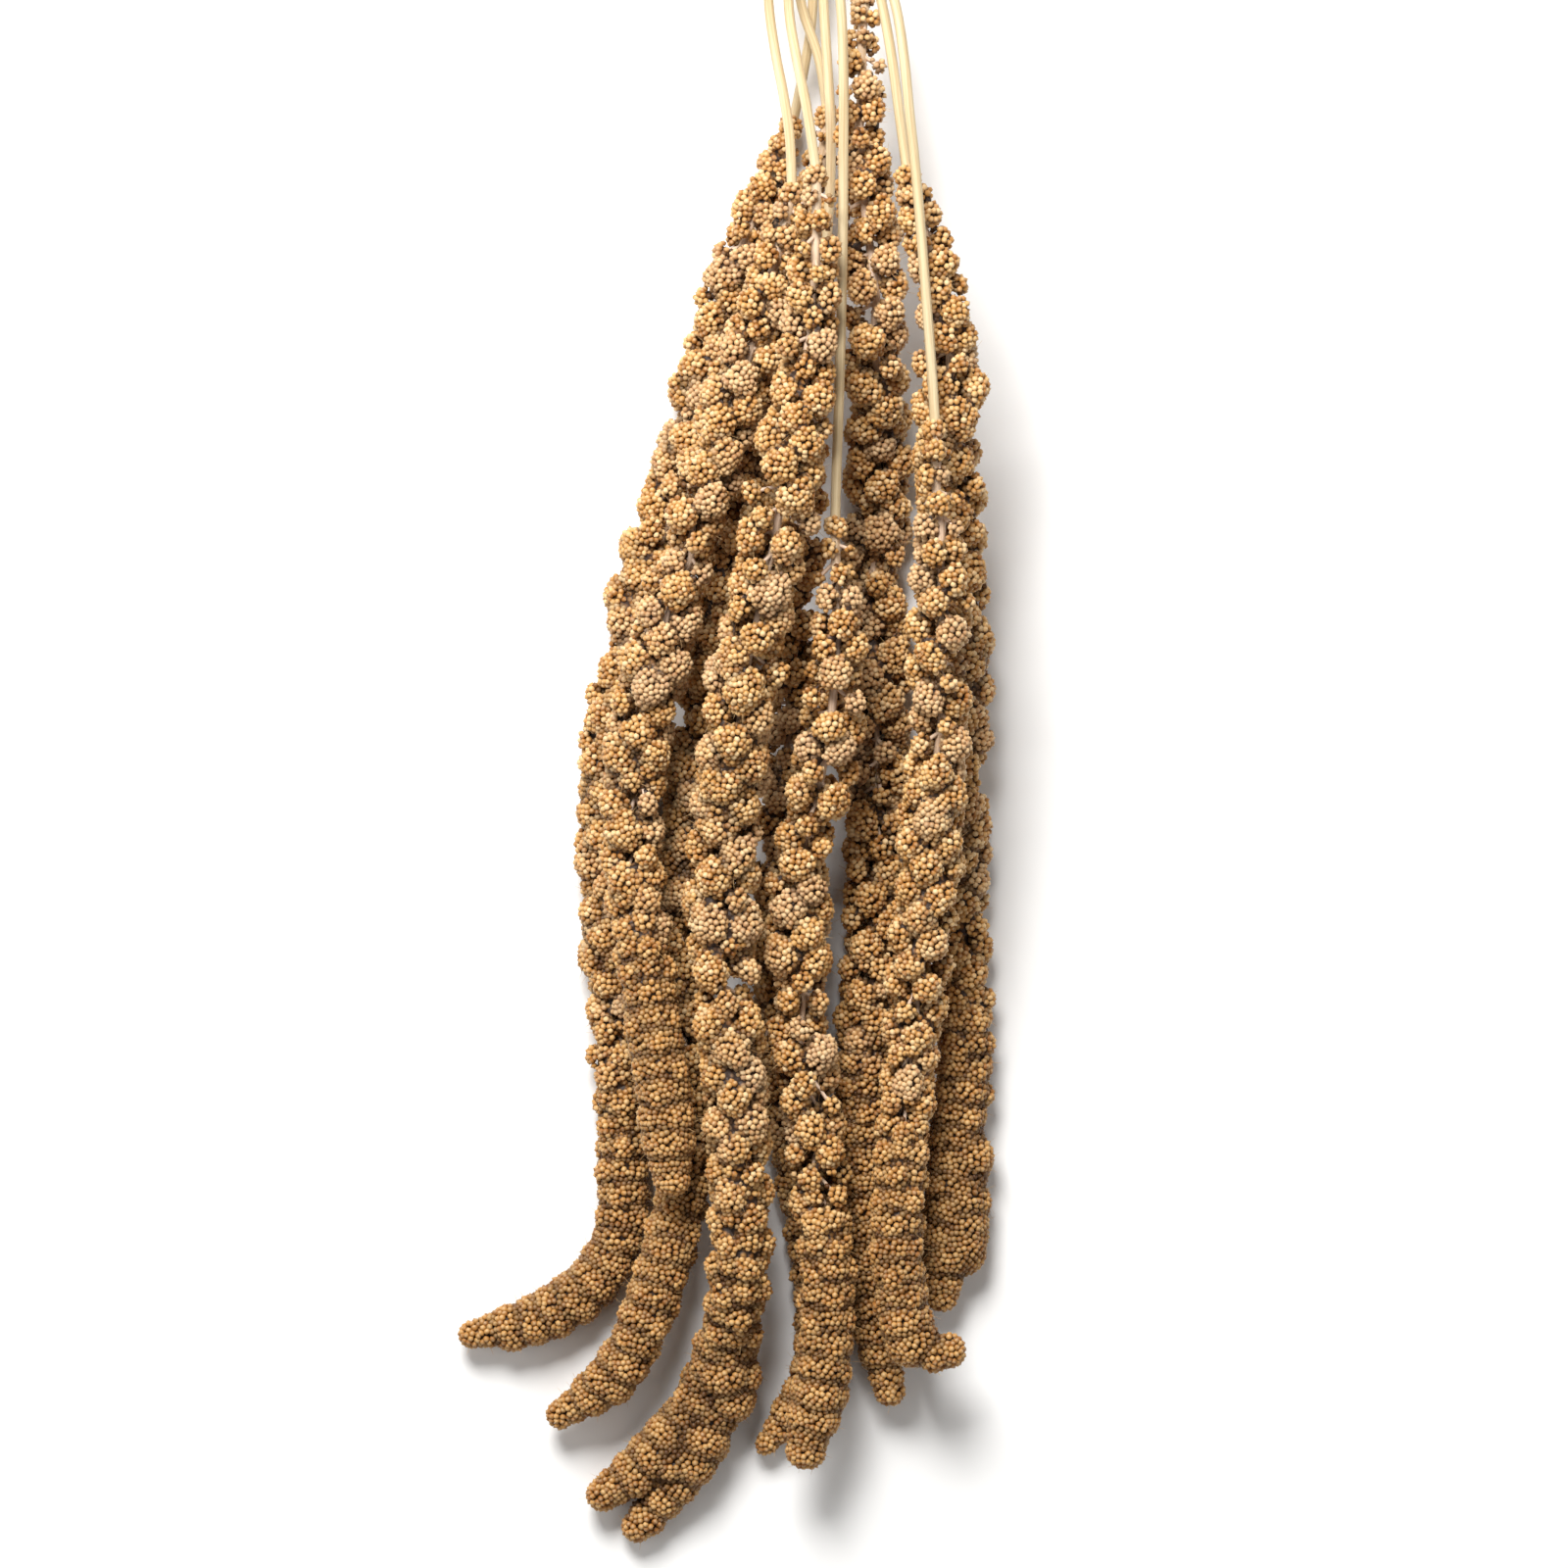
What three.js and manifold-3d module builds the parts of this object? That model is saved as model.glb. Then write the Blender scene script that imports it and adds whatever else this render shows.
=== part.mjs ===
// A bunch of dried foxtail millet, cut, tied by its stems and lying on a table.
// Millimetres, +Z up. The stems run towards +Y and the tips of the seed heads towards -Y.
// The origin is on the table, under the middle of the bunch.
import * as THREE from 'three';
import { mergeVertices } from 'three/addons/utils/BufferGeometryUtils.js';
import Module from 'manifold-3d';

const wasm = await Module();
wasm.setup();

// Seed heads
const HEAD_RADIUS = 10.4; // over the fullest clusters of a head of girth 1
const HEAD_SIDES = 6; // points in a row, every other one the top of a seed cluster
const ROW_PITCH = 6.2; // from one row to the next, along a head
const ROW_TURN = 0.07; // how far the next row is turned on, in radians
const CLUSTER_DROOP = 2; // how far a cluster leans towards the tip
const CLUSTER_STRAY = 1.4; // how far it strays along the head
const CLUSTER_SWAY = 0.2; // how far it strays round the head, in radians
const CLUSTER_LEAST = 0.62; // the shortest cluster, as a share of the fullest
const SHOULDER_SHARE = 0.85; // height of a cluster's shoulders, as a share of its top's
const HOLLOW_STRAY = 0.08; // how uneven the hollows between clusters are
const BARE_SHARE = 0.06; // share of clusters that have dropped off
const FINGER_START = 0.6; // from this share of its length on, a head is a closely covered finger
const SEED = 20;

// Shares of the head's radius from its base (0) to its tip (1): over the clusters, and the core they stand on
const ENVELOPE = [[0, 0.4], [0.06, 0.7], [0.2, 1], [0.45, 1], [0.7, 0.84], [0.9, 0.78], [0.96, 0.64], [1, 0.26]];
const CORE = [[0, 0.26], [0.1, 0.42], [0.45, 0.56], [0.7, 0.68], [0.9, 0.68], [0.96, 0.54], [1, 0.22]];

// Stems and their tie
const STEM_RADIUS = 1.5;
const STEM_SIDES = 6;
const STEM_STEP = 13; // length of one straight stretch of a stem
const JOIN_GAP = 0.3; // between a stem's end and the base of its head
const TIE_Y = 280;
const TIE_X = 6;
const TIE_Z = 19; // height of the tied bundle's middle
const BUNDLE_RADIUS = 4.7; // from the bundle's middle to the stems round it
const BUNDLE_REACH = 32; // how far from the tie the stems still run side by side
const CUT_Y = 308; // the stems are cut about here
const CUT_SPREAD = 6; // how unevenly they are cut
const TIE_TURNS = 3;
const TIE_CORD = 2.2; // thickness of the tie's cord
const TIE_SIDES = 16;

// Lying on the table and on each other
const CLEARANCE = 0.45; // air between two sprays
const LAY_STEP = 1; // spacing of the points at which a spray is laid
const CURVE_STEP = 4; // spacing of the points that its curve runs through
const CURVE_DIVISIONS = 2000; // of a curve, for measuring along it
const LAY_REACH = 26; // half the length over which a spray bridges a hollow under it
const FLAT_DEPTH = 1.2; // how much the table flattens of the lowest clusters

const FINISHES = {
  seeds: { color: 0xb98a50, roughness: 0.75, metalness: 0 },
  straw: { color: 0xe9d3a6, roughness: 0.55, metalness: 0 },
  cord: { color: 0xb59a6a, roughness: 0.9, metalness: 0 },
};

// The sprays, in the order in which they are laid. Each has its plan: the stem from the tie to the head,
// then the head from its base to its tip. tieAngle is its place in the bundle, in degrees (null is the middle).
const SPRAYS = [
  {
    name: 'left_back', girth: 0.95, tieAngle: 247.5,
    stem: [[7.5, 202], [5.5, 186]],
    head: [
      [2.5, 171], [-13.5, 130], [-24, 88], [-37.5, 46], [-45, 0],
      [-44, -50], [-41.5, -92], [-44, -121], [-62, -137], [-82, -142],
    ],
  },
  {
    name: 'back_left', girth: 0.95, tieAngle: 202.5,
    stem: [[4, 202], [9, 186]],
    head: [
      [11, 174], [4, 130], [-9.5, 72], [-21, 10], [-26, -45],
      [-25, -95], [-31, -124], [-43, -151], [-59, -163],
    ],
  },
  {
    name: 'back_middle', girth: 0.78, tieAngle: 292.5,
    stem: [[10, 202], [12, 160], [9.5, 122]],
    head: [
      [8, 104], [5, 60], [0.5, 10], [-2, -40], [0, -80],
      [6, -115], [8.5, -140], [5, -157], [-5.5, -171],
    ],
  },
  {
    name: 'middle_right', girth: 1, tieAngle: 337.5,
    stem: [[20, 214]],
    head: [
      [20.5, 202], [19.5, 165], [23, 117], [24, 72], [24, 10],
      [22.5, -40], [20, -75], [20, -100], [23.5, -136], [27.5, -158],
    ],
  },
  {
    name: 'right_back', girth: 1, tieAngle: 22.5,
    stem: [[24, 202], [28.5, 176]],
    head: [[31, 156], [41, 118], [42.5, 68], [44.5, 8], [45.5, -45], [46.5, -72], [42.5, -106], [40.5, -134]],
    fork: [[46, -84], [47.5, -106], [46, -123]],
  },
  {
    name: 'left_front', girth: 1, tieAngle: 157.5,
    stem: [[-4, 202], [0, 175]],
    head: [[2, 152], [-6, 117], [-20, 78], [-32, 33], [-39, -8], [-35.5, -46], [-30.5, -80], [-28.5, -103]],
  },
  {
    name: 'middle_front', girth: 0.98, tieAngle: null,
    stem: [[14, 202], [15, 150], [14, 100]],
    head: [[13, 67.5], [13, 25], [5.5, -20], [3, -52], [7, -84], [11, -125], [10, -150], [4.5, -173]],
  },
  {
    name: 'right_front', girth: 0.94, tieAngle: 67.5,
    stem: [[27, 202], [32, 166], [36, 120]],
    head: [
      [38, 91], [40, 40], [37.5, -15], [33.5, -60],
      [29.5, -100], [29.5, -128], [34.5, -144.5], [44.5, -144.5],
    ],
  },
  {
    name: 'front_long', girth: 1.06, tieAngle: 112.5,
    stem: [[1, 202], [5, 175]],
    head: [
      [8, 155], [7, 117], [-2, 64], [-12.5, 12], [-15.5, -38],
      [-12, -88], [-12, -130], [-20, -157], [-32.5, -172.5], [-48.5, -184],
    ],
    fork: [[-12, -138], [-15, -160], [-25, -177], [-39, -192.5]],
  },
];
const FORK_GIRTH = 0.62; // of a fork, as a share of its head's
const FORK_FROM = 0.4; // a fork tapers as a head does from this share of its length on

// A seeded draw between 0 and 1
function drawer(seed) {
  let state = seed;
  return () => {
    state = (state * 1664525 + 1013904223) % 4294967296;
    return state / 4294967296;
  };
}

// The value at t of a line through [t, value] points
function along(points, t) {
  const next = points.findIndex(([at]) => at >= t);
  if (next <= 0) return points[Math.max(next, 0)][1];
  const [t0, v0] = points[next - 1];
  const [t1, v1] = points[next];
  return v0 + ((v1 - v0) * (t - t0)) / (t1 - t0);
}

function smooth(t) {
  return THREE.MathUtils.smoothstep(t, 0, 1);
}

// Where a spray's stem runs through the tie
function bundlePlace({ tieAngle }) {
  if (tieAngle === null) return { x: TIE_X, z: TIE_Z };
  const turn = THREE.MathUtils.degToRad(tieAngle);
  return { x: TIE_X + BUNDLE_RADIUS * Math.cos(turn), z: TIE_Z + BUNDLE_RADIUS * Math.sin(turn) };
}

// Points along a plan route, LAY_STEP apart, with the length at which each of its given points lies
function walk(route) {
  const curve = new THREE.CatmullRomCurve3(route.map(([x, y]) => new THREE.Vector3(x, y, 0)));
  curve.arcLengthDivisions = CURVE_DIVISIONS;
  const lengths = curve.getLengths();
  const total = lengths.at(-1);
  const steps = Math.round(total / LAY_STEP);
  const lengthAt = (index) => lengths[Math.round((index / (route.length - 1)) * curve.arcLengthDivisions)];
  return { points: curve.getSpacedPoints(steps), total, lengthAt };
}

// Height at which a point of radius r has to lie to clear what is already laid
function restingHeight(point, radius, laid, least) {
  let height = least;
  for (const other of laid) {
    const reach = radius + other.radius + CLEARANCE;
    const dx = point.x - other.point.x;
    const dy = point.y - other.point.y;
    const flat = dx * dx + dy * dy;
    if (flat < reach * reach) height = Math.max(height, other.point.z + Math.sqrt(reach * reach - flat));
  }
  return height;
}

// Bridges the hollows of a height profile with a smooth line that is nowhere lower than it
function bridge(heights) {
  const reach = Math.round(LAY_REACH / LAY_STEP);
  const window = (i) => [Math.max(0, i - reach), Math.min(heights.length - 1, i + reach)];
  const raised = heights.map((_, i) => {
    const [from, to] = window(i);
    return Math.max(...heights.slice(from, to + 1));
  });
  return heights.map((_, i) => {
    const [from, to] = window(i);
    let sum = 0;
    let weights = 0;
    for (let k = from; k <= to; k += 1) {
      const weight = 1 + Math.cos((Math.PI * (k - i)) / (reach + 1));
      sum += weight * raised[k];
      weights += weight;
    }
    return sum / weights;
  });
}

const headRadius = (girth, t) => HEAD_RADIUS * girth * along(ENVELOPE, t);

// Lays one spray on the table and on what is already there, and returns its points in space
function laySpray(spray, laid, draw) {
  const place = bundlePlace(spray);
  const cut = [place.x, CUT_Y + (draw() - 0.5) * 2 * CUT_SPREAD];
  const together = [0, 0.6, 1].map((share) => [place.x, TIE_Y - share * BUNDLE_REACH]);
  const stem = [cut, ...together, ...spray.stem];
  const { points, total, lengthAt } = walk([...stem, ...spray.head]);
  const headStart = lengthAt(stem.length);
  const tieEnd = lengthAt(together.length);
  const stations = points.map((point, i) => {
    const s = (i / (points.length - 1)) * total;
    const inHead = s >= headStart;
    const radius = inHead ? headRadius(spray.girth, (s - headStart) / (total - headStart)) : STEM_RADIUS;
    const held = inHead ? 0 : 1 - smooth((s - tieEnd) / (headStart - tieEnd));
    const free = smooth((s - tieEnd) / LAY_REACH);
    return { point, radius, inHead, free, least: THREE.MathUtils.lerp(radius, place.z, held) };
  });
  const heights = stations.map(({ point, radius, least }) => restingHeight(point, radius, laid, least));
  bridge(heights).forEach((z, i) => {
    stations[i].point.z = THREE.MathUtils.lerp(place.z, z, stations[i].free);
  });
  return stations;
}

// A fork leaves its head's own core and comes down beside its tip
function layFork(spray, stations, laid) {
  const { points } = walk(spray.fork);
  const girth = spray.girth * FORK_GIRTH;
  const root = stations.reduce((a, b) => (points[0].distanceTo(b.point) < points[0].distanceTo(a.point) ? b : a));
  const fork = points.map((point, i) => {
    const t = i / (points.length - 1);
    const radius = headRadius(girth, THREE.MathUtils.lerp(FORK_FROM, 1, t));
    return { point, radius, least: THREE.MathUtils.lerp(root.point.z, radius, t) };
  });
  const heights = fork.map(({ point, radius, least }) => restingHeight(point, radius, laid, least));
  fork.forEach(({ point }, i) => {
    point.z = heights[i];
  });
  return fork;
}

function curveThrough(points) {
  const every = Math.round(CURVE_STEP / LAY_STEP);
  const kept = points.filter((_, i) => i % every === 0 || i === points.length - 1);
  const curve = new THREE.CatmullRomCurve3(kept);
  curve.arcLengthDivisions = CURVE_DIVISIONS;
  return curve;
}

// A seed head: clusters raised on a tapering core, those of each row between those of the row before
function headGeometry(points, girth, from, draw) {
  const curve = curveThrough(points);
  const rows = Math.max(4, Math.round(curve.getLength() / ROW_PITCH));
  const frames = curve.computeFrenetFrames(rows, false);
  const vertices = [];
  const raised = [];
  const fingers = [];
  const pointAt = (i, angle, radius, lean) => curve.getPointAt(i / rows)
    .addScaledVector(frames.normals[i], radius * Math.cos(angle))
    .addScaledVector(frames.binormals[i], radius * Math.sin(angle))
    .addScaledVector(frames.tangents[i], lean);
  for (let i = 0; i <= rows; i += 1) {
    const t = THREE.MathUtils.lerp(from, 1, i / rows);
    const outer = headRadius(girth, t);
    const core = HEAD_RADIUS * girth * along(CORE, t);
    for (let j = 0; j < HEAD_SIDES; j += 1) {
      const bare = t < FINGER_START && draw() < BARE_SHARE;
      const top = i > 0 && i < rows && (i + j) % 2 === 0 && !bare;
      const size = THREE.MathUtils.lerp(CLUSTER_LEAST, 1, draw());
      const radius = top ? core + (outer - core) * size : core * (1 - HOLLOW_STRAY * draw());
      const lean = (CLUSTER_DROOP + CLUSTER_STRAY * (2 * draw() - 1)) * (outer / HEAD_RADIUS);
      const angle = (j / HEAD_SIDES) * 2 * Math.PI + i * ROW_TURN;
      const sway = CLUSTER_SWAY * (2 * draw() - 1);
      vertices.push(top ? pointAt(i, angle + sway, radius, lean) : pointAt(i, angle, radius, 0));
      raised.push(top);
      fingers.push(t >= FINGER_START);
    }
  }
  const base = vertices.push(curve.getPointAt(0)) - 1;
  const tip = vertices.push(curve.getPointAt(1).addScaledVector(frames.tangents[rows], girth)) - 1;

  // A shoulder lies halfway from a cluster's top to a hollow, but nearly as high as the top
  const shoulder = (i, top, hollow) => {
    const middle = curve.getPointAt(i / rows);
    const halfway = vertices[top].clone().lerp(vertices[hollow], 0.5);
    const out = vertices[top].clone().sub(middle).normalize();
    const height = vertices[top].clone().sub(vertices[hollow]).dot(out);
    return vertices.push(halfway.addScaledVector(out, height * (SHOULDER_SHARE - 0.5))) - 1;
  };

  const faces = [];
  const indexOf = (i, j) => i * HEAD_SIDES + ((j + HEAD_SIDES) % HEAD_SIDES);
  for (let i = 0; i <= rows; i += 1) {
    for (let j = 0; j < HEAD_SIDES; j += 1) {
      if ((i + j) % 2 !== 0) continue;
      const top = indexOf(i, j);
      const round = [[i, j + 1], [i + 1, j], [i, j - 1], [i - 1, j]]
        .map(([row, side]) => (row < 0 || row > rows ? null : indexOf(row, side)));
      const rounded = raised[top] && !fingers[top];
      const shoulders = rounded ? round.map((hollow) => shoulder(i, top, hollow)) : [];
      round.forEach((hollow, k) => {
        const next = (k + 1) % round.length;
        if (hollow === null || round[next] === null) return;
        if (!rounded) {
          faces.push(top, hollow, round[next]);
          return;
        }
        faces.push(top, shoulders[k], shoulders[next]);
        faces.push(shoulders[k], hollow, round[next], shoulders[k], round[next], shoulders[next]);
      });
    }
  }
  for (let j = 0; j < HEAD_SIDES; j += 1) {
    faces.push(base, indexOf(0, j + 1), indexOf(0, j), tip, indexOf(rows, j), indexOf(rows, j + 1));
  }
  const geometry = new THREE.BufferGeometry().setFromPoints(vertices);
  geometry.setIndex(faces);
  return geometry;
}

// A stem: a straw that runs from its cut end to just short of its head
function stemGeometry(points) {
  const path = curveThrough(points);
  const round = [...Array(STEM_SIDES).keys()].map((k) => {
    const angle = (k / STEM_SIDES) * 2 * Math.PI;
    return new THREE.Vector2(STEM_RADIUS * Math.cos(angle), STEM_RADIUS * Math.sin(angle));
  });
  const steps = Math.round(path.getLength() / STEM_STEP);
  return new THREE.ExtrudeGeometry(new THREE.Shape(round), { steps, bevelEnabled: false, extrudePath: path });
}

// The tie: a few turns of cord side by side round the bundle
function tieGeometry() {
  const inner = BUNDLE_RADIUS + STEM_RADIUS + CLEARANCE;
  const half = TIE_CORD / 2;
  const end = TIE_TURNS * half;
  const profile = [new THREE.Vector2(inner, -end)];
  for (let turn = 0; turn < TIE_TURNS; turn += 1) {
    const middle = (2 * turn + 1) * half - end;
    for (const angle of [Math.PI / 4, Math.PI / 2, (3 * Math.PI) / 4]) {
      profile.push(new THREE.Vector2(inner + half + half * Math.sin(angle), middle - half * Math.cos(angle)));
    }
  }
  profile.push(new THREE.Vector2(inner, end), new THREE.Vector2(inner, -end));
  return new THREE.LatheGeometry(profile, TIE_SIDES);
}

function solidOf(geometry) {
  const bare = geometry.clone();
  bare.deleteAttribute('normal');
  bare.deleteAttribute('uv');
  const merged = mergeVertices(bare, 1e-4);
  return new wasm.Manifold(new wasm.Mesh({
    numProp: 3,
    vertProperties: new Float32Array(merged.attributes.position.array),
    triVerts: new Uint32Array(merged.index.array),
  }));
}

function geometryOf(solid) {
  const mesh = solid.getMesh();
  const geometry = new THREE.BufferGeometry();
  geometry.setAttribute('position', new THREE.BufferAttribute(mesh.vertProperties, 3));
  geometry.setIndex(new THREE.BufferAttribute(mesh.triVerts, 1));
  return geometry;
}

// What lies under the given height, to be cut away
function groundUnder(height) {
  const size = 1000;
  return solidOf(new THREE.BoxGeometry(size, size, size).translate(0, 0, height - size / 2));
}

function piece(name, geometry, finish) {
  const made = new THREE.Mesh(geometry, finish);
  made.name = name;
  return made;
}

function buildBunch() {
  const draw = drawer(SEED);
  const laid = [];
  const heads = new Map();
  const stems = new Map();
  for (const spray of SPRAYS) {
    const stations = laySpray(spray, laid, draw);
    const headPoints = stations.filter(({ inHead }) => inHead).map(({ point }) => point);
    const stemPoints = stations.filter(({ inHead }) => !inHead).map(({ point }) => point);
    const back = stemPoints.at(-1).clone().sub(headPoints[0]).setLength(JOIN_GAP);
    stemPoints[stemPoints.length - 1] = headPoints[0].clone().add(back);
    let head = solidOf(headGeometry(headPoints, spray.girth, 0, draw));
    const added = [...stations];
    if (spray.fork) {
      const fork = layFork(spray, stations, laid);
      const forkPoints = fork.map(({ point }) => point);
      head = head.add(solidOf(headGeometry(forkPoints, spray.girth * FORK_GIRTH, FORK_FROM, draw)));
      added.push(...fork);
    }
    laid.push(...added);
    heads.set(spray.name, head);
    stems.set(spray.name, stemGeometry(stemPoints));
  }

  const bunch = new THREE.Group();
  const lowest = Math.min(...[...heads.values()].map((head) => head.boundingBox().min[2]));
  const table = groundUnder(lowest + FLAT_DEPTH);
  const seeds = new THREE.MeshStandardMaterial(FINISHES.seeds);
  const straw = new THREE.MeshStandardMaterial(FINISHES.straw);
  const cord = new THREE.MeshStandardMaterial(FINISHES.cord);
  for (const [name, head] of heads) bunch.add(piece(`head_${name}`, geometryOf(head.subtract(table)), seeds));
  for (const [name, stem] of stems) bunch.add(piece(`stem_${name}`, stem, straw));
  const tie = piece('tie', tieGeometry(), cord);
  tie.position.set(TIE_X, TIE_Y, TIE_Z);
  bunch.add(tie);

  // The origin lies on the table, under the middle of the bunch
  const box = new THREE.Box3().setFromObject(bunch, true);
  const centre = box.getCenter(new THREE.Vector3());
  bunch.children.forEach((child) => child.position.sub(new THREE.Vector3(centre.x, centre.y, box.min.z)));
  return bunch;
}

export default buildBunch();
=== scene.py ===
import math
import random

import bmesh
import bpy
import numpy as np
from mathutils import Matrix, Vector
from mathutils.bvhtree import BVHTree


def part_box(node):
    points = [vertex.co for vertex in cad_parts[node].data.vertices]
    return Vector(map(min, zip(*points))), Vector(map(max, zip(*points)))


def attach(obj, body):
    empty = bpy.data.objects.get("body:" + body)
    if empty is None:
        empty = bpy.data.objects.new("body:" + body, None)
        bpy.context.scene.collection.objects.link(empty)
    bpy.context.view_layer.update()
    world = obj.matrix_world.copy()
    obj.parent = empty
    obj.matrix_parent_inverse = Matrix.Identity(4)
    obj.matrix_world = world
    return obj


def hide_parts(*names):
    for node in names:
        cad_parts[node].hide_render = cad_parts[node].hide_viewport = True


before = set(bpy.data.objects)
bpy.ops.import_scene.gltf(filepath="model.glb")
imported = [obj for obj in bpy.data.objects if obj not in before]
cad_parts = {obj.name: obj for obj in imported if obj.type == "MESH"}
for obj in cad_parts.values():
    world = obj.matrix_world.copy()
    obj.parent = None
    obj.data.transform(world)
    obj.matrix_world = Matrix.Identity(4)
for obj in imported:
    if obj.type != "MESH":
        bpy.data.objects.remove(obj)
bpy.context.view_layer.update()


def paint(red, green, blue):  # a screen colour, 0 to 255, as Blender's linear colour
    screen = (c / 255 for c in (red, green, blue))
    return tuple(c / 12.92 if c < 0.04 else ((c + 0.055) / 1.055) ** 2.4 for c in screen) + (1.0,)


def addNode(tree, kind, inputs=None, **settings):
    made = tree.nodes.new(kind)
    for name, value in settings.items():
        setattr(made, name, value)
    for name, value in (inputs or {}).items():
        if isinstance(value, bpy.types.NodeSocket):
            tree.links.new(value, made.inputs[name])
        else:
            made.inputs[name].default_value = value
    return made


def addMath(tree, operation, *values, clamp=False):
    made = addNode(tree, "ShaderNodeMath", dict(enumerate(values)), operation=operation, use_clamp=clamp)
    return made.outputs[0]


def addRamp(tree, factor, stops):
    ramp = addNode(tree, "ShaderNodeValToRGB", {"Fac": factor})
    marks = ramp.color_ramp.elements
    while len(marks) < len(stops):
        marks.new(0.5)
    for mark, (at, colour) in zip(marks, stops):
        mark.position, mark.color = at, colour
    return ramp.outputs["Color"]


def mixColour(tree, factor, first, second, blend="MIX"):
    mix = addNode(tree, "ShaderNodeMix", data_type="RGBA", blend_type=blend, clamp_factor=True)
    for socket, value in zip((mix.inputs[0], mix.inputs[6], mix.inputs[7]), (factor, first, second)):
        if isinstance(value, bpy.types.NodeSocket):
            tree.links.new(value, socket)
        else:
            socket.default_value = value
    return mix.outputs[2]


def spreadOver(tree, value, low, high, top=1.0, way="SMOOTHSTEP"):  # from 0 at low to top at high
    ranges = {"Value": value, "From Min": low, "From Max": high, "To Max": top}
    return addNode(tree, "ShaderNodeMapRange", ranges, interpolation_type=way).outputs["Result"]


def newMaterial(name):
    made = bpy.data.materials.new(name)
    made.use_nodes = True
    return made, made.node_tree, made.node_tree.nodes["Principled BSDF"]


def attributeOf(tree, name):
    return addNode(tree, "ShaderNodeAttribute", attribute_name=name).outputs["Fac"]


# Soft dry patches over a surface, shared by all the finishes
def makeDryPatches():
    group = bpy.data.node_groups.new("dryPatches", "ShaderNodeTree")
    for label, value in (("Patch Size", 0.012), ("Contrast", 1.0)):
        socket = group.interface.new_socket(label, in_out="INPUT", socket_type="NodeSocketFloat")
        socket.default_value = value
    group.interface.new_socket("Patch", in_out="OUTPUT", socket_type="NodeSocketFloat")
    given = group.nodes.new("NodeGroupInput").outputs
    place = addNode(group, "ShaderNodeTexCoord").outputs["Object"]
    scale = addMath(group, "DIVIDE", 1.0, given["Patch Size"])
    soft = {"Vector": place, "Scale": scale, "Detail": 3.0, "Roughness": 0.55}
    noise = addNode(group, "ShaderNodeTexNoise", soft)
    centred = addMath(group, "SUBTRACT", noise.outputs["Fac"], 0.5)
    spread = addMath(group, "MULTIPLY_ADD", centred, given["Contrast"], 0.5, clamp=True)
    addNode(group, "NodeGroupOutput", {"Patch": spread})
    return group


dryPatches = makeDryPatches()


def patchOf(tree, size, contrast):
    made = addNode(tree, "ShaderNodeGroup", node_tree=dryPatches)
    made.inputs["Patch Size"].default_value, made.inputs["Contrast"].default_value = size, contrast
    return made.outputs["Patch"]


grainLook = {
    "tones": [
        (0.0, paint(154, 98, 42)),
        (0.35, paint(192, 138, 72)),
        (0.7, paint(212, 166, 102)),
        (1.0, paint(232, 198, 148)),
    ],
    "pinkish": paint(208, 174, 136),
    "pinkFrom": 0.45,  # clusters above this tone are the dry, pinkish ones
    "pinkShare": 0.55,
    "patchSize": 0.022,
}


# The colour of one grain, from its own tone and the tone of the cluster it sits on
def makeGrainTone(look):
    group = bpy.data.node_groups.new("grainTone", "ShaderNodeTree")
    for label in ("Tone", "Cluster"):
        group.interface.new_socket(label, in_out="INPUT", socket_type="NodeSocketFloat").default_value = 0.5
    group.interface.new_socket("Colour", in_out="OUTPUT", socket_type="NodeSocketColor")
    given = group.nodes.new("NodeGroupInput").outputs
    patch = addMath(group, "SUBTRACT", patchOf(group, look["patchSize"], 1.6), 0.5)
    dryness = addMath(group, "MULTIPLY_ADD", patch, 0.6, given["Cluster"])
    share = spreadOver(group, dryness, look["pinkFrom"], look["pinkFrom"] + 0.4, look["pinkShare"])
    tone = addRamp(group, given["Tone"], look["tones"])
    addNode(group, "NodeGroupOutput", {"Colour": mixColour(group, share, tone, look["pinkish"])})
    return group


grainTone = makeGrainTone(grainLook)


def grainOf(tree, tone):
    tones = {"Tone": tone, "Cluster": attributeOf(tree, "clusterTone")}
    return addNode(tree, "ShaderNodeGroup", tones, node_tree=grainTone).outputs["Colour"]


seedHuskLook = {
    # painted shade: each seed darkens towards its base, where the seeds meet
    "root": paint(96, 52, 14),
    "rootShadeEnd": 0.66,  # how far up a seed the painted shade at its root reaches
    # painted highlight: the top of each seed is mixed towards pale cream
    "paintedHighlight": paint(246, 220, 176),
    "highlightFrom": 0.7,
    "highlightShare": 0.36,
    "crease": paint(58, 28, 6),  # painted shade on seeds deep between two clusters or in hollows
    "creaseShadeShare": 0.88,
    "roughness": 0.48,
}


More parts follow.
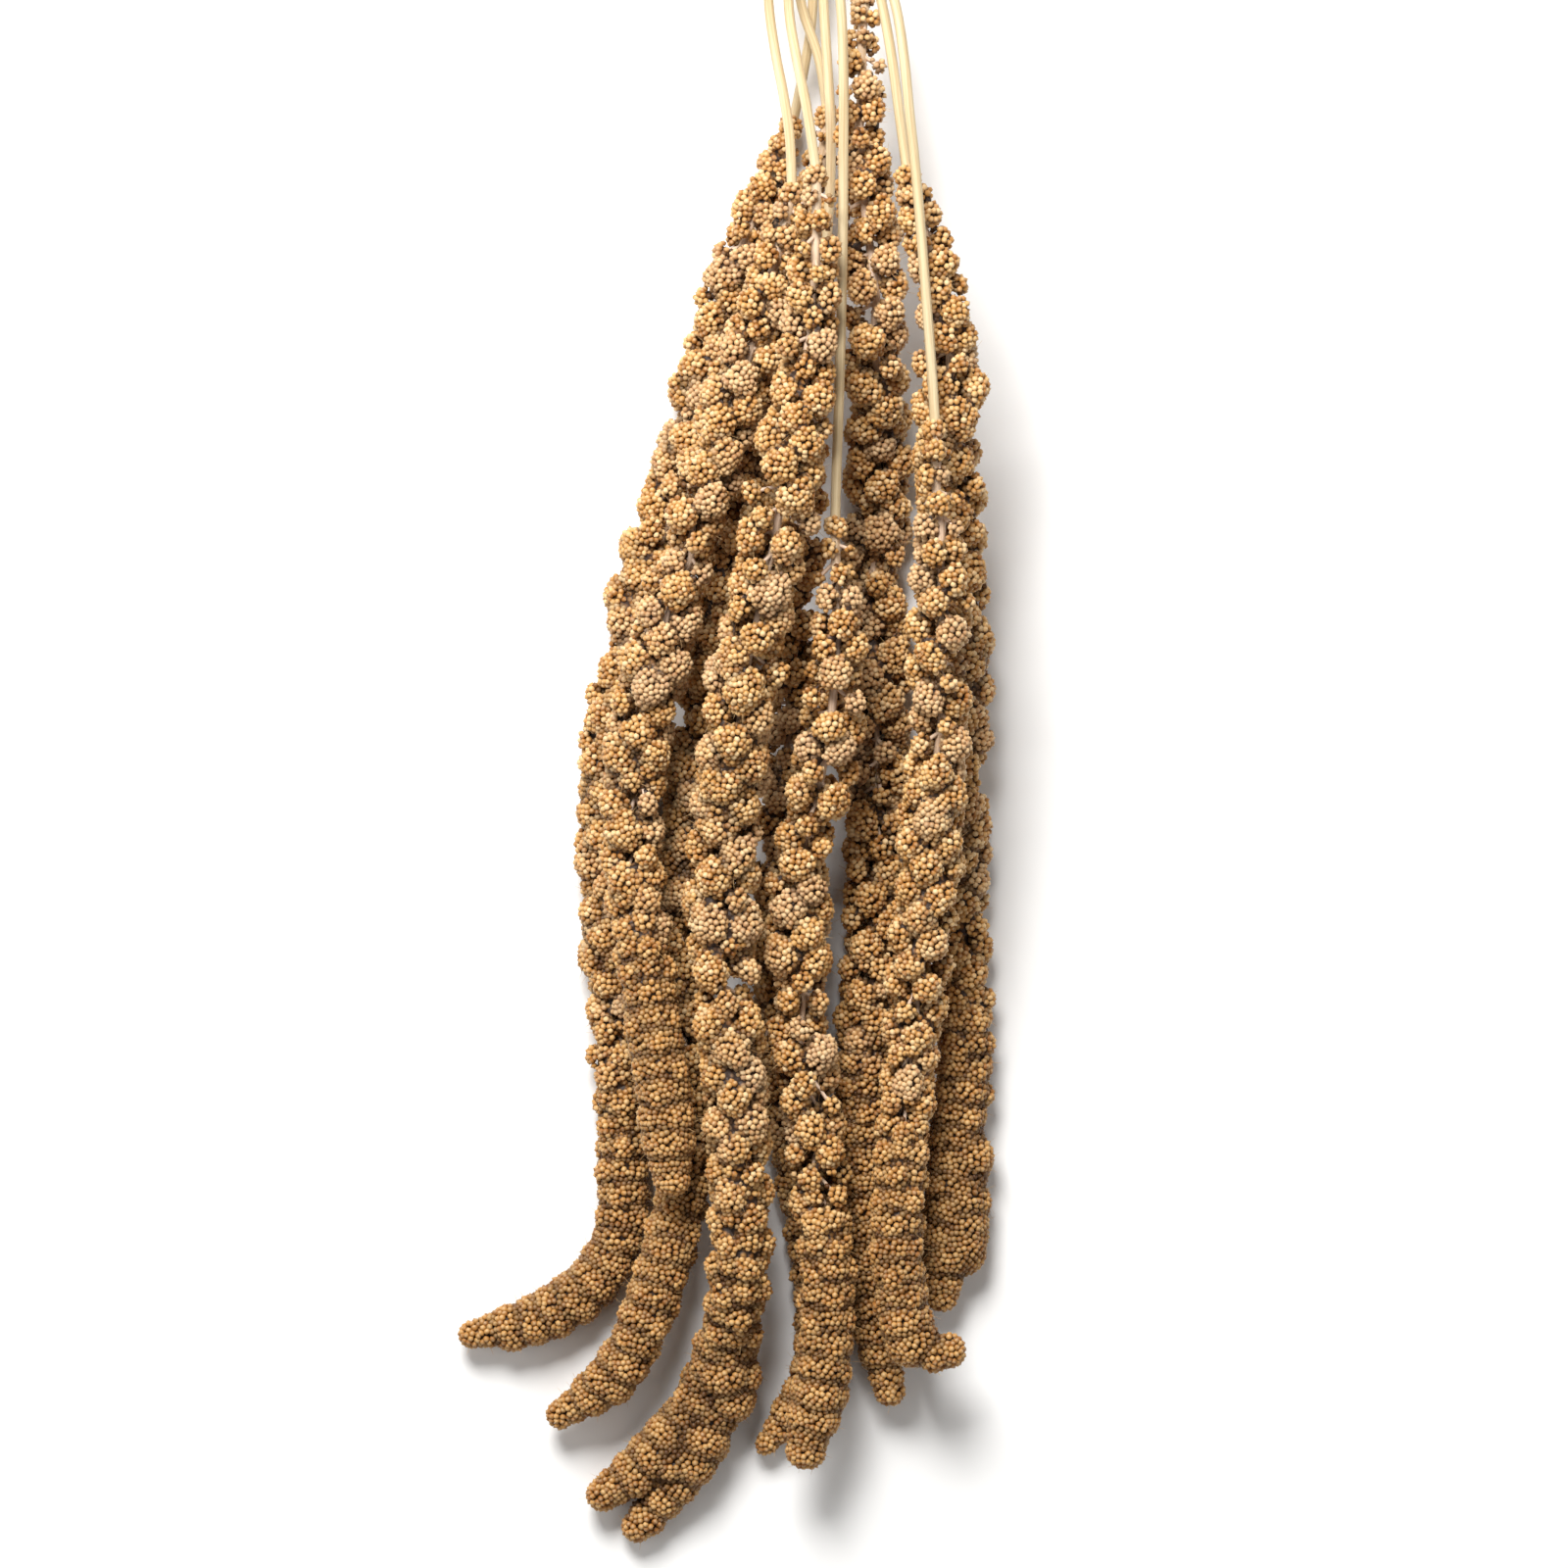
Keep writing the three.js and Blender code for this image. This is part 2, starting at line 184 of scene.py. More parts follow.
def makeSeedHusk(look):
    material, tree, shader = newMaterial("seedHusk")
    grain = grainOf(tree, attributeOf(tree, "seedTone"))
    height = attributeOf(tree, "seedLift")
    # painted shade at each seed's root, fading out partway up the seed
    lift = spreadOver(tree, height, 0.1, look["rootShadeEnd"])
    # painted highlight on the top of each seed
    paintedHighlight = spreadOver(tree, height, look["highlightFrom"], 1.0, look["highlightShare"])
    body = mixColour(tree, paintedHighlight, mixColour(tree, lift, look["root"], grain), look["paintedHighlight"])
    # painted shade: seeds near another wall, in hollows or on the finger are mixed towards the crease colour
    shut = addMath(tree, "SUBTRACT", 1.0, attributeOf(tree, "seedOpen"))
    shut = addMath(tree, "MULTIPLY", shut, look["creaseShadeShare"])
    tree.links.new(mixColour(tree, shut, body, look["crease"]), shader.inputs["Base Color"])
    shader.inputs["Roughness"].default_value = look["roughness"]
    shader.inputs["Specular IOR Level"].default_value = 0.32
    place = addNode(tree, "ShaderNodeTexCoord").outputs["Object"]
    fine = {"Vector": place, "Scale": 1600.0, "Detail": 2.0}
    wrinkle = addNode(tree, "ShaderNodeTexNoise", fine).outputs["Fac"]
    bump = addNode(tree, "ShaderNodeBump", {"Height": wrinkle, "Strength": 0.25, "Distance": 0.0003})
    tree.links.new(bump.outputs["Normal"], shader.inputs["Normal"])
    return material


# painted shade: the gaps between the lower seeds are dark, and the lower seeds take only the darker tones
underLook = {"gapShade": paint(46, 24, 6), "grainSize": 0.0018, "tone": 0.4}


def makeUnderSeeds(look):  # the seeds of the layer below, as they show between the upper ones
    material, tree, shader = newMaterial("underSeeds")
    place = addNode(tree, "ShaderNodeTexCoord").outputs["Object"]
    cells = addNode(tree, "ShaderNodeTexVoronoi", {"Vector": place, "Scale": 1 / look["grainSize"]})
    tone = addNode(tree, "ShaderNodeSeparateXYZ", {0: cells.outputs["Color"]}).outputs["X"]
    # painted shade: the lower seeds take only the darker part of the tone ramp
    grain = grainOf(tree, addMath(tree, "MULTIPLY", tone, look["tone"]))
    # painted shade in the gaps between the lower seeds
    gapShade = addRamp(tree, cells.outputs["Distance"], [(0.1, (0, 0, 0, 1)), (0.55, (1, 1, 1, 1))])
    tree.links.new(mixColour(tree, gapShade, grain, look["gapShade"]), shader.inputs["Base Color"])
    shader.inputs["Roughness"].default_value = 0.6
    high = addMath(tree, "SUBTRACT", 1.0, cells.outputs["Distance"])
    bump = addNode(tree, "ShaderNodeBump", {"Height": high, "Strength": 0.8, "Distance": 0.001})
    tree.links.new(bump.outputs["Normal"], shader.inputs["Normal"])
    return material


# Fibres that run along a stalk or a cord, from its own run and turn
def makeFibres():
    group = bpy.data.node_groups.new("fibres", "ShaderNodeTree")
    for label, value in (("Run", 0.0), ("Turn", 0.0), ("Stretch", 22.0), ("Fineness", 5.0)):
        socket = group.interface.new_socket(label, in_out="INPUT", socket_type="NodeSocketFloat")
        socket.default_value = value
    group.interface.new_socket("Fibre", in_out="OUTPUT", socket_type="NodeSocketFloat")
    given = group.nodes.new("NodeGroupInput").outputs
    angle = addMath(group, "MULTIPLY", given["Turn"], math.tau)
    across, beside = addMath(group, "COSINE", angle), addMath(group, "SINE", angle)
    ahead = addMath(group, "MULTIPLY", given["Run"], given["Stretch"])
    place = addNode(group, "ShaderNodeCombineXYZ", {"X": across, "Y": beside, "Z": ahead}).outputs[0]
    grain = {"Vector": place, "Scale": given["Fineness"], "Detail": 5.0, "Roughness": 0.65}
    addNode(group, "NodeGroupOutput", {"Fibre": addNode(group, "ShaderNodeTexNoise", grain).outputs["Fac"]})
    return group


fibres = makeFibres()


def fibreOf(tree, run, turn, stretch, fineness):
    made = addNode(tree, "ShaderNodeGroup", node_tree=fibres)
    tree.links.new(attributeOf(tree, run), made.inputs["Run"])
    tree.links.new(attributeOf(tree, turn), made.inputs["Turn"])
    made.inputs["Stretch"].default_value, made.inputs["Fineness"].default_value = stretch, fineness
    return made.outputs["Fibre"]


strawLook = {
    "stem": paint(222, 204, 166),
    "axis": paint(220, 194, 172),  # the pinkish axis inside a head
    "streak": paint(164, 130, 82),
    "streakShare": 0.6,
    "aged": paint(228, 200, 150),
    "patchSize": 0.03,
}


def makeStraw(look):
    material, tree, shader = newMaterial("straw")
    fibre = fibreOf(tree, "strawRun", "strawTurn", 12.0, 2.4)
    streaks = addRamp(tree, fibre, [(0.42, (0, 0, 0, 1)), (0.68, (1, 1, 1, 1))])
    body = mixColour(tree, attributeOf(tree, "strawInHead"), look["stem"], look["axis"])
    streaked = mixColour(tree, addMath(tree, "MULTIPLY", streaks, look["streakShare"]), body, look["streak"])
    aged = mixColour(tree, patchOf(tree, look["patchSize"], 1.6), streaked, look["aged"], "MULTIPLY")
    tree.links.new(mixColour(tree, 0.65, aged, streaked), shader.inputs["Base Color"])
    shader.inputs["Roughness"].default_value = 0.48
    shader.inputs["Specular IOR Level"].default_value = 0.35
    bump = addNode(tree, "ShaderNodeBump", {"Height": fibre, "Strength": 0.5, "Distance": 0.0004})
    tree.links.new(bump.outputs["Normal"], shader.inputs["Normal"])
    return material


cordLook = {"light": paint(206, 180, 134), "dark": paint(140, 108, 66), "patchSize": 0.004, "dustShare": 0.4}


def makeCord(look):
    material, tree, shader = newMaterial("cord")
    fibre = fibreOf(tree, "cordRun", "cordTurn", 160.0, 4.0)
    share = addRamp(tree, fibre, [(0.36, (0, 0, 0, 1)), (0.64, (1, 1, 1, 1))])
    twisted = mixColour(tree, share, look["dark"], look["light"])
    dust = addMath(tree, "MULTIPLY", patchOf(tree, look["patchSize"], 2.0), look["dustShare"])
    tree.links.new(mixColour(tree, dust, twisted, look["light"]), shader.inputs["Base Color"])
    shader.inputs["Roughness"].default_value = 0.85
    bump = addNode(tree, "ShaderNodeBump", {"Height": fibre, "Strength": 0.8, "Distance": 0.0004})
    tree.links.new(bump.outputs["Normal"], shader.inputs["Normal"])
    return material


bristleLook = {"light": paint(226, 190, 134), "dark": paint(170, 122, 70), "patchSize": 0.006}


def makeBristle(look):
    material, tree, shader = newMaterial("bristle")
    tone = mixColour(tree, patchOf(tree, look["patchSize"], 2.0), look["light"], look["dark"])
    tree.links.new(tone, shader.inputs["Base Color"])
    shader.inputs["Roughness"].default_value = 0.6
    return material


seedHusk = makeSeedHusk(seedHuskLook)
underSeeds = makeUnderSeeds(underLook)
straw = makeStraw(strawLook)
cord = makeCord(cordLook)
bristle = makeBristle(bristleLook)
print("finishes made")


def newTree(name, sizes):  # a node tree with a geometry in and out and named sizes
    tree = bpy.data.node_groups.new(name, "GeometryNodeTree")
    tree.is_modifier = True
    tree.interface.new_socket("Geometry", in_out="INPUT", socket_type="NodeSocketGeometry")
    for label, value in sizes.items():
        kind = "NodeSocketInt" if isinstance(value, int) else "NodeSocketFloat"
        tree.interface.new_socket(label, in_out="INPUT", socket_type=kind).default_value = value
    tree.interface.new_socket("Geometry", in_out="OUTPUT", socket_type="NodeSocketGeometry")
    return tree, tree.nodes.new("NodeGroupInput").outputs


def grown(name, mesh, tree, sizes):  # runs a tree on a mesh and keeps the result as a plain mesh
    piece = bpy.data.objects.new(name, mesh)
    bpy.context.scene.collection.objects.link(piece)
    modifier = piece.modifiers.new(tree.name, "NODES")
    modifier.node_group = tree
    for socket in tree.interface.items_tree:
        if socket.in_out == "INPUT" and socket.name in sizes:
            modifier[socket.identifier] = sizes[socket.name]
    graph = bpy.context.evaluated_depsgraph_get()
    done = piece.evaluated_get(graph)
    made = bpy.data.meshes.new_from_object(done, preserve_all_data_layers=True, depsgraph=graph)
    piece.modifiers.clear()
    piece.data = made
    made.name = name
    bpy.data.meshes.remove(mesh)
    return piece


def addMarks(tree, geometry, **values):  # keeps values on a geometry's points under their own names
    for name, value in values.items():
        marks = {"Geometry": geometry, "Name": name, "Value": value}
        kept = addNode(tree, "GeometryNodeStoreNamedAttribute", marks, data_type="FLOAT", domain="POINT")
        geometry = kept.outputs[0]
    return geometry


def namedValue(tree, name):
    found = addNode(tree, "GeometryNodeInputNamedAttribute", {"Name": name}, data_type="FLOAT")
    return found.outputs["Attribute"]


def addVectors(tree, operation, first, second):
    return addNode(tree, "ShaderNodeVectorMath", {0: first, 1: second}, operation=operation).outputs


def addScaled(tree, vector, scale):
    return addNode(tree, "ShaderNodeVectorMath", {0: vector, "Scale": scale}, operation="SCALE").outputs[0]


def isLess(tree, first, second):
    pair = {0: first, 1: second}
    return addNode(tree, "FunctionNodeCompare", pair, data_type="FLOAT", operation="LESS_THAN").outputs[0]


def finished(tree, geometry, material):
    return addNode(tree, "GeometryNodeSetMaterial", {"Geometry": geometry, "Material": material}).outputs[0]


def smoothed(tree, geometry):
    shaded = {"Geometry": geometry, "Shade Smooth": True}
    return addNode(tree, "GeometryNodeSetShadeSmooth", shaded).outputs[0]


def ringOf(tree, sides, radius):
    circle = {"Resolution": sides, "Radius": radius}
    return addNode(tree, "GeometryNodeCurvePrimitiveCircle", circle).outputs[0]


def alongLine(tree, line, ring, caps):
    run = {"Curve": line, "Profile Curve": ring, "Fill Caps": caps}
    return addNode(tree, "GeometryNodeCurveToMesh", run)


def trianglesOf(piece):
    return sum(len(face.vertices) - 2 for face in piece.data.polygons)


def meshOfPoints(name, points, edges=(), **values):
    mesh = bpy.data.meshes.new(name)
    mesh.from_pydata([tuple(p) for p in points], edges, [])
    for label, numbers in values.items():
        kept = mesh.attributes.new(label, "FLOAT", "POINT")
        kept.data.foreach_set("value", np.asarray(numbers, dtype=np.float32))
    return mesh


def mergedShape(node):  # a copy of a solid with its shared points merged
    shape = bmesh.new()
    shape.from_mesh(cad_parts[node].data)
    bmesh.ops.remove_doubles(shape, verts=shape.verts, dist=2e-5)
    shape.normal_update()
    shape.verts.ensure_lookup_table()
    points = np.array([v.co for v in shape.verts])
    links = [[e.other_vert(v).index for e in v.link_edges] for v in shape.verts]
    return shape, points, links


def countRows(links, start):  # each point's count of steps from the start
    row = {i: 0 for i in start}
    front = list(start)
    while front:
        after = []
        for i in front:
            for k in links[i]:
                if k not in row:
                    row[k] = row[i] + 1
                    after.append(k)
        front = after
    return row


def readStem(node):  # the middle line of a stem, from its cut end
    shape, points, links = mergedShape(node)
    shape.free()
    high = points[:, 1]
    row = countRows(links, np.flatnonzero(high > high.max() - 0.0006).tolist())
    return [points[[i for i, r in row.items() if r == k]].mean(axis=0) for k in range(max(row.values()) + 1)]


def readHead(node, base, reach):  # a head's points: their place, which way they face, which top a cluster
    shape, points, links = mergedShape(node)
    walls = BVHTree.FromBMesh(shape)
    normals = np.array([v.normal for v in shape.verts])
    shape.free()
    row = countRows(links, [int(np.argmin(np.linalg.norm(points - base, axis=1)))])
    last = max(row.values())
    counts = np.array([row[i] for i in range(len(points))])
    middles = [points[counts == r].mean(axis=0) for r in range(last + 1)]
    through = [walls.ray_cast(Vector(p - n * 1e-4), Vector(-n))[3] or 0.0 for p, n in zip(points, normals)]
    spots = []
    for i, r in row.items():
        place, out = points[i], normals[i]
        away = points - place
        beside = np.linalg.norm(away, axis=1) < reach
        aim = ((counts[beside] - r)[:, None] * away[beside]).sum(axis=0)
        aim = aim - out * np.dot(aim, out)
        spots.append({
            "place": place,
            "out": out,
            "aim": aim / (np.linalg.norm(aim) + 1e-9),
            "thick": min(through[i], 1.2 * float(np.median([through[k] for k in links[i]]))),
            "top": len(links[i]) == 4,
            "hollow": len(links[i]) >= 8,
            "share": r / last,
            "axis": middles[max(0, r - 1)],  # where the cluster's branchlet leaves the axis
        })
    return spots


def easeBetween(low, high, value):
    t = min(1.0, max(0.0, (value - low) / (high - low)))
    return t * t * (3 - 2 * t)


headForm = {
    "fingerFrom": 0.6,  # where the separate clusters start to close up
    "fingerTo": 0.86,  # from here the head is a closely covered finger
    "clusterGirth": 0.28,  # a cluster's radius, as a share of the head's thickness
    "backSwell": 1.15,  # the heads at the back are a little fuller
    "smallShare": 0.25,  # how many of the clusters stay small
    "fingerGirth": 0.2,
    "girthLimits": (0.0018, 0.0066),
    "footGirth": 0.45,  # the lower part of a cluster, towards the axis
    "knobs": 5,  # smaller balls round a cluster's body
    "knobReach": 0.5,
    "droop": 1.3,  # how much longer a cluster is along the head
    "aimReach": 0.016,  # how far round a point the head's direction is read
    "coreBall": 0.0066,
    "coreShare": 0.47,  # of the head's thickness
    "smallGrade": 0.62,
    "tone": 0.45,
    "toneSpread": 0.2,
    "tipFrom": 0.9,  # past this share of its length a head is filled to its tip
    "onTable": 0.0007,  # the seeds' own reach below the balls
    "seed": 7,
}


# The balls of a head's clusters and core, each with its place, radius, tone and share of finger,
# and the branchlets that hold them
def headBalls(spots, form, draw):
    balls, branchlets = [], []
    low, high = form["girthLimits"]
    for spot in spots:
        finger = easeBetween(form["fingerFrom"], form["fingerTo"], spot["share"])
        out, aim = spot["out"], spot["aim"]
        tone = form["tone"] - 0.2 * finger + draw.gauss(0.0, form["toneSpread"]) * (1 - 0.6 * finger)
        if (spot["hollow"] and finger > 0.2) or spot["share"] > form["tipFrom"]:
            depth = min(form["coreBall"], form["coreShare"] * spot["thick"]) * max(finger, 0.2)
            balls.append((spot["place"] - out * depth, max(depth, low * 0.8), tone, finger))
        if not spot["top"]:
            continue
        side = np.cross(aim, out)
        share = form["clusterGirth"] * (1 - finger) + form["fingerGirth"] * finger
        grade = draw.uniform(0.92, 1.1)
        if draw.random() < form["smallShare"]:
            grade *= form["smallGrade"] + 0.3 * finger
        girth = min(high, max(low, spot["thick"] * share)) * grade
        body = spot["place"] - out * girth * draw.uniform(0.95, 1.12)
        if finger < 0.6:
            branchlets.append((len(balls), len(balls) + 1))
            balls.append((spot["axis"].copy(), 0.0, tone, finger))
        balls.append((body, girth * 0.92, tone, finger))
        if finger < 0.6:
            balls.append((body * 0.6 + spot["axis"] * 0.4, girth * form["footGirth"], tone, finger))
        first = draw.uniform(0, math.tau)
        for k in range(form["knobs"]):
            angle = first + math.tau * (k + draw.uniform(-0.25, 0.25)) / form["knobs"]
            reach = form["knobReach"] * draw.uniform(0.85, 1.15)
            shift = side * math.cos(angle) + aim * math.sin(angle) * form["droop"]
            shift = shift * reach + out * draw.uniform(-0.15, 0.28)
            balls.append((body + shift * girth, girth * draw.uniform(0.5, 0.64), tone, finger))
    for place, radius, *_ in balls:
        place[2] = max(place[2], radius + form["onTable"])
    return balls, branchlets


seedSizes = {
    "Voxel": 0.00075,
    "Under Voxel": 0.0021,
    "Under Depth": 0.0006,
    "Seed Gap": 0.00118,  # least distance between two seeds
    "Seed Size": 0.0009,  # a seed's radius
    "Densest": 6000000.0,  # seeds on a square metre before the gap thins them
    "Plain Below": -0.1,  # seeds that face down more than this are plainer
    "Crease": 0.002,  # seeds with a wall closer than this get painted shade
    "Crease Reach": 0.009,  # seeds with a wall closer than this are shaded
    "Finger Tone Shade": 0.35,  # painted shade: how much darker a tone the seeds of the finger take
    # painted shade on the seeds of the finger, mixed towards the crease colour
    "Finger Shade": 0.1,
    "Relief Steps": 24,  # how widely the surface is smoothed to find its hollows
    "Hollow": -0.0002,  # seeds that lie this far below the smoothed surface get the most painted shade
    "Height": 0.0006,  # and from here up they get none
    "Branchlet": 0.00055,
    "Bristle Share": 16000.0,  # bristles on a square metre
    "Bristle Length": 0.003,
    "Random Seed": 3,
}


def seedShape(tree, given, ball, floor):  # a seed's ball without its hidden root
    place = addNode(tree, "GeometryNodeInputPosition").outputs[0]
    high = addNode(tree, "ShaderNodeSeparateXYZ", {0: place}).outputs["Z"]
    lift = addMath(tree, "MULTIPLY_ADD", addMath(tree, "DIVIDE", high, given["Seed Size"]), 0.5, 0.5)
    cut = {"Geometry": addMarks(tree, ball.outputs[0], seedLift=lift), "Selection": isLess(tree, lift, floor)}
    shell = addNode(tree, "GeometryNodeDeleteGeometry", cut, domain="FACE", mode="ONLY_FACE").outputs[0]
    return finished(tree, smoothed(tree, shell), seedHusk)


def randomTurn(tree, rotation, lean, seed):  # a turn about the normal, with some lean
    spread = {0: (-lean, -lean, -math.pi), 1: (lean, lean, math.pi), "Seed": seed}
    spin = addNode(tree, "FunctionNodeRandomValue", spread, data_type="FLOAT_VECTOR").outputs[0]
    by = addNode(tree, "FunctionNodeEulerToRotation", {0: spin}).outputs[0]
    turn = {"Rotation": rotation, "Rotate By": by}
    return addNode(tree, "FunctionNodeRotateRotation", turn, rotation_space="LOCAL").outputs[0]


def makeSeedCover():
    tree, given = newTree("seedCover", seedSizes)
    place = addNode(tree, "GeometryNodeInputPosition").outputs[0]
    radius = namedValue(tree, "ballRadius")
    centres = {"Mesh": given["Geometry"], "Radius": radius}
    points = addNode(tree, "GeometryNodeMeshToPoints", centres).outputs[0]
    filled = {"Points": points, "Voxel Size": given["Voxel"], "Radius": radius}
    volume = addNode(tree, "GeometryNodePointsToVolume", filled, resolution_mode="VOXEL_SIZE").outputs[0]
    fine = {"Volume": volume, "Threshold": 0.3}
    surface = addNode(tree, "GeometryNodeVolumeToMesh", fine, resolution_mode="GRID").outputs[0]
    normal = addNode(tree, "GeometryNodeInputNormal").outputs[0]
    evened = {"Value": place, "Iterations": given["Relief Steps"]}
    evened = addNode(tree, "GeometryNodeBlurAttribute", evened, data_type="FLOAT_VECTOR").outputs[0]
    rise = addVectors(tree, "SUBTRACT", place, evened)[0]
    surface = addMarks(tree, surface, seedRelief=addVectors(tree, "DOT_PRODUCT", rise, normal)["Value"])
    ask = {"Geometry": points, "Sample Position": place}
    nearest = addNode(tree, "GeometryNodeSampleNearest", ask).outputs[0]
    fromBall = {}
    for name in ("ballTone", "ballFinger"):
        sampled = {"Geometry": points, "Value": namedValue(tree, name), "Index": nearest}
        found = addNode(tree, "GeometryNodeSampleIndex", sampled, data_type="FLOAT", domain="POINT")
        fromBall[name] = found.outputs[0]

    # the layer below: a coarser skin, drawn onto the surface and sunk into it
    coarse = {**fine, "Voxel Size": given["Under Voxel"], "Adaptivity": 0.15}
    skin = addNode(tree, "GeometryNodeVolumeToMesh", coarse, resolution_mode="VOXEL_SIZE").outputs[0]
    wall = {"Mesh": surface, "Value": normal, "Sample Position": place}
    out = addNode(tree, "GeometryNodeSampleNearestSurface", wall, data_type="FLOAT_VECTOR").outputs[0]
    sunk = addScaled(tree, out, addMath(tree, "MULTIPLY", given["Under Depth"], -1.0))
    drawn = addNode(tree, "GeometryNodeProximity", {0: surface, "Source Position": place}).outputs["Position"]
    lowered = {"Geometry": skin, "Position": drawn, "Offset": sunk}
    skin = addNode(tree, "GeometryNodeSetPosition", lowered).outputs[0]
    skin = smoothed(tree, addMarks(tree, skin, clusterTone=fromBall["ballTone"]))
    skin = finished(tree, skin, underSeeds)

    # branchlets: thin stalks from the head's axis to its clusters
    lines = addNode(tree, "GeometryNodeMeshToCurve", {"Mesh": given["Geometry"]}).outputs[0]
    stalks = alongLine(tree, lines, ringOf(tree, 5, given["Branchlet"]), False).outputs[0]
    stalks = finished(tree, smoothed(tree, addMarks(tree, stalks, strawInHead=1.0)), straw)

    # seeds: none deep in a crease, round ones where they show, plainer ones underneath
    sown = {"Mesh": surface, "Distance Min": given["Seed Gap"], "Density Max": given["Densest"]}
    sown["Seed"] = given["Random Seed"]
    spread = addNode(tree, "GeometryNodeDistributePointsOnFaces", sown, distribute_method="POISSON")
    ways = {"Vector": (0, 0, 1), "Rotation": spread.outputs["Rotation"]}
    up = addNode(tree, "FunctionNodeRotateVector", ways).outputs[0]
    start = addVectors(tree, "ADD", place, addScaled(tree, up, 0.0004))[0]  # clear of the seed's own wall
    ray = {"Target Geometry": surface, "Source Position": start, "Ray Direction": up}
    cast = addNode(tree, "GeometryNodeRaycast", {**ray, "Ray Length": given["Crease Reach"]})
    hit, far = cast.outputs["Is Hit"], cast.outputs["Hit Distance"]
    close = {0: isLess(tree, far, given["Crease"]), 1: hit}
    near = addNode(tree, "FunctionNodeBooleanMath", close, operation="AND").outputs[0]
    # painted shade mask: 1 where a seed is clear, falling towards 0 as another wall comes near along its
    # normal and in hollows of the smoothed surface
    width = spreadOver(tree, far, given["Crease"], given["Crease Reach"], way="LINEAR")
    clearOf = {"Switch": hit, "False": 1.0, "True": width}
    openness = addNode(tree, "GeometryNodeSwitch", clearOf, input_type="FLOAT").outputs[0]
    relief = spreadOver(tree, namedValue(tree, "seedRelief"), given["Hollow"], given["Height"], way="LINEAR")
    openness = addMath(tree, "MULTIPLY", openness, relief)
    less = {name: addMath(tree, "MULTIPLY", given[name], -1.0) for name in ("Finger Shade", "Finger Tone Shade")}
    dim = addMath(tree, "MULTIPLY_ADD", fromBall["ballFinger"], less["Finger Shade"], 1.0)
    sites = addMarks(tree, spread.outputs["Points"], seedOpen=addMath(tree, "MULTIPLY", openness, dim))
    shut = {"Geometry": sites, "Selection": near}
    sites = addNode(tree, "GeometryNodeDeleteGeometry", shut, domain="POINT").outputs[0]
    anyTone = addNode(tree, "FunctionNodeRandomValue", {2: 0.0, 3: 1.0, "Seed": 13}, data_type="FLOAT")
    # painted shade: the seeds of the finger take darker tones
    fingerShadeTone = addMath(tree, "MULTIPLY_ADD", fromBall["ballFinger"], less["Finger Tone Shade"], 1.0)
    tone = addMath(tree, "MULTIPLY", anyTone.outputs[1], fingerShadeTone)
    sites = addMarks(tree, sites, seedTone=tone, clusterTone=fromBall["ballTone"])
    tall = addNode(tree, "ShaderNodeSeparateXYZ", {0: up}).outputs["Z"]
    below = isLess(tree, tall, given["Plain Below"])
    shown = addNode(tree, "FunctionNodeBooleanMath", {0: below}, operation="NOT").outputs[0]
    size = {"Radius": given["Seed Size"]}
    balls = [
        (addNode(tree, "GeometryNodeMeshIcoSphere", {**size, "Subdivisions": 1}), shown),
        (addNode(tree, "GeometryNodeMeshUVSphere", {**size, "Segments": 4, "Rings": 2}), below),
    ]
    turned = randomTurn(tree, spread.outputs["Rotation"], 0.3, 11)
    grades = {0: (0.9, 0.9, 0.95), 1: (1.1, 1.1, 1.15), "Seed": 12}
    swell = addNode(tree, "FunctionNodeRandomValue", grades, data_type="FLOAT_VECTOR").outputs[0]
    whole = addNode(tree, "GeometryNodeJoinGeometry")
    for (ball, chosen), floor in zip(balls, (0.2, -1.0)):
        laid = {"Points": sites, "Selection": chosen, "Instance": seedShape(tree, given, ball, floor)}
        laid.update({"Rotation": turned, "Scale": swell})
        seeds = addNode(tree, "GeometryNodeInstanceOnPoints", laid).outputs[0]
        seeds = addNode(tree, "GeometryNodeRealizeInstances", {"Geometry": seeds}).outputs[0]
        tree.links.new(seeds, whole.inputs[0])

    # bristles: fine and short, leaning every way
    sown = {"Mesh": surface, "Density": given["Bristle Share"], "Seed": 21}
    bare = addNode(tree, "GeometryNodeDistributePointsOnFaces", sown, distribute_method="RANDOM")
    slim = {"Vertices": 3, "Radius Top": 0.00002, "Radius Bottom": 0.00007, "Depth": given["Bristle Length"]}
    needle = addNode(tree, "GeometryNodeMeshCone", slim, fill_type="NONE").outputs[0]
    leant = randomTurn(tree, bare.outputs["Rotation"], 0.8, 22)
    laid = {"Points": bare.outputs["Points"], "Instance": needle, "Rotation": leant}
    hairs = addNode(tree, "GeometryNodeInstanceOnPoints", laid).outputs[0]
    hairs = addNode(tree, "GeometryNodeRealizeInstances", {"Geometry": hairs}).outputs[0]
    hairs = finished(tree, hairs, bristle)

    for part in (hairs, skin, stalks):
        tree.links.new(part, whole.inputs[0])
    above = addVectors(tree, "MAXIMUM", place, (-9.0, -9.0, 0.00005))[0]  # nothing sinks below the table
    lying = addNode(tree, "GeometryNodeSetPosition", {"Geometry": whole.outputs[0], "Position": above})
    addNode(tree, "NodeGroupOutput", {"Geometry": lying.outputs[0]})
    return tree


